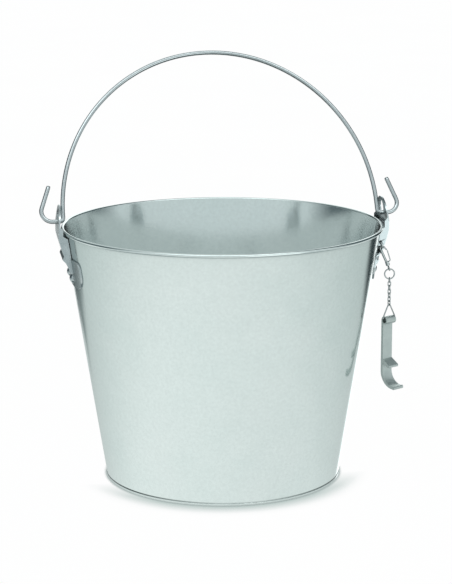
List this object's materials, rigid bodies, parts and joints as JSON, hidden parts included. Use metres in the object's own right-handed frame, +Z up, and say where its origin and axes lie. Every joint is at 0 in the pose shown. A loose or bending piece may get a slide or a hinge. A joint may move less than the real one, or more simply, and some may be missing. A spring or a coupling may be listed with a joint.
{
  "type": "ice bucket",
  "caption": "Tapered sheet-metal ice bucket with rolled rim, riveted ears, a swinging wire bail, and a bottle opener on a clasp and chain.",
  "frame": {"origin": "centre of the foot, on the surface the bucket stands on", "axes": "+Z up; +X along the bail hinge axis towards the ear that carries the opener; -Y is the front"},
  "size_m": [0.271, 0.2398, 0.3135],
  "materials": {
    "pail_sheet": "satin galvanised sheet with a fine grain",
    "ear_sheet": "bright zinc plating, lightly scuffed",
    "rivet_steel": "bright zinc plating",
    "bail_wire": "zinc-plated drawn wire",
    "tether_steel": "nickel plating",
    "opener_aluminium": "matt anodised extrusion"
  },
  "bodies": {
    "bucket": {"pail_wall": "pail_sheet", "base_pan": "pail_sheet", "ear_right": "ear_sheet", "ear_left": "ear_sheet", "ear_rivets": "rivet_steel"},
    "bail": {"bail": "bail_wire"},
    "jump_ring": {"jump_ring": "tether_steel"},
    "clasp": {"clasp_body": "tether_steel", "clasp_pin": "tether_steel"},
    "clasp_gate": {"clasp_gate": "tether_steel"},
    "clasp_swivel": {"clasp_swivel": "tether_steel"},
    "tether_ring": {"tether_ring": "tether_steel"},
    "chain_link_1": {"chain_link_1": "tether_steel"},
    "chain_link_2": {"chain_link_2": "tether_steel"},
    "chain_link_3": {"chain_link_3": "tether_steel"},
    "chain_link_4": {"chain_link_4": "tether_steel"},
    "chain_link_5": {"chain_link_5": "tether_steel"},
    "chain_link_6": {"chain_link_6": "tether_steel"},
    "chain_link_7": {"chain_link_7": "tether_steel"},
    "triangle_link": {"triangle_link": "tether_steel"},
    "opener": {"opener": "opener_aluminium"}
  },
  "joints": [
    {"name": "bail_swing", "type": "hinge", "parent": "bucket", "child": "bail", "pos_m": [0, 0, 0.19605], "axis": [1, 0, 0], "range_deg": [-66, 124]},
    {"name": "jump_ring_swing", "type": "hinge", "parent": "bucket", "child": "jump_ring", "pos_m": [0.1166, -0.01745, 0.177], "axis": [0, -1, 0], "range_deg": [-6, 4]},
    {"name": "clasp_swing", "type": "hinge", "parent": "jump_ring", "child": "clasp", "pos_m": [0.11819, -0.01745, 0.17226], "axis": [0, 1, 0], "range_deg": [-25, 6]},
    {"name": "gate_press", "type": "hinge", "parent": "clasp", "child": "clasp_gate", "pos_m": [0.12289, -0.01745, 0.16114], "axis": [0, -1, 0], "range_deg": [0, 15], "stiffness_Nm_per_rad": 0.002},
    {"name": "swivel_turn", "type": "hinge", "parent": "clasp", "child": "clasp_swivel", "pos_m": [0.11786, -0.01745, 0.17327], "axis": [0.319, 0, -0.9478], "continuous": true},
    {"name": "ring_swing", "type": "hinge", "parent": "clasp_swivel", "child": "tether_ring", "pos_m": [0.12405, -0.01745, 0.15488], "axis": [0, -1, 0], "range_deg": [-6, 25]},
    {"name": "link_1_swing", "type": "hinge", "parent": "tether_ring", "child": "chain_link_1", "pos_m": [0.12405, -0.01745, 0.14844], "axis": [1, 0, 0], "range_deg": [-40, 40]},
    {"name": "link_2_swing", "type": "hinge", "parent": "chain_link_1", "child": "chain_link_2", "pos_m": [0.12405, -0.01745, 0.1456], "axis": [-0.0772, 0.997, 0], "range_deg": [-25, 6]},
    {"name": "link_3_swing", "type": "hinge", "parent": "chain_link_2", "child": "chain_link_3", "pos_m": [0.12405, -0.01745, 0.14266], "axis": [-0.9881, -0.154, 0], "range_deg": [-40, 40]},
    {"name": "link_4_swing", "type": "hinge", "parent": "chain_link_3", "child": "chain_link_4", "pos_m": [0.12405, -0.01745, 0.13972], "axis": [0.2298, -0.9732, 0], "range_deg": [-6, 25]},
    {"name": "link_5_swing", "type": "hinge", "parent": "chain_link_4", "child": "chain_link_5", "pos_m": [0.12405, -0.01745, 0.13678], "axis": [0.9526, 0.3043, 0], "range_deg": [-40, 40]},
    {"name": "link_6_swing", "type": "hinge", "parent": "chain_link_5", "child": "chain_link_6", "pos_m": [0.12405, -0.01745, 0.13384], "axis": [-0.3769, 0.9262, 0], "range_deg": [-25, 6]},
    {"name": "link_7_swing", "type": "hinge", "parent": "chain_link_6", "child": "chain_link_7", "pos_m": [0.12405, -0.01745, 0.1309], "axis": [-0.8944, -0.4473, 0], "range_deg": [-40, 40]},
    {"name": "triangle_swing", "type": "hinge", "parent": "chain_link_7", "child": "triangle_link", "pos_m": [0.12405, -0.01745, 0.12796], "axis": [0.515, -0.8572, 0], "range_deg": [-6, 25]},
    {"name": "opener_swing", "type": "hinge", "parent": "triangle_link", "child": "opener", "pos_m": [0.12405, -0.01745, 0.11844], "axis": [0.8572, 0.515, 0], "range_deg": [-30, 36]}
  ]
}
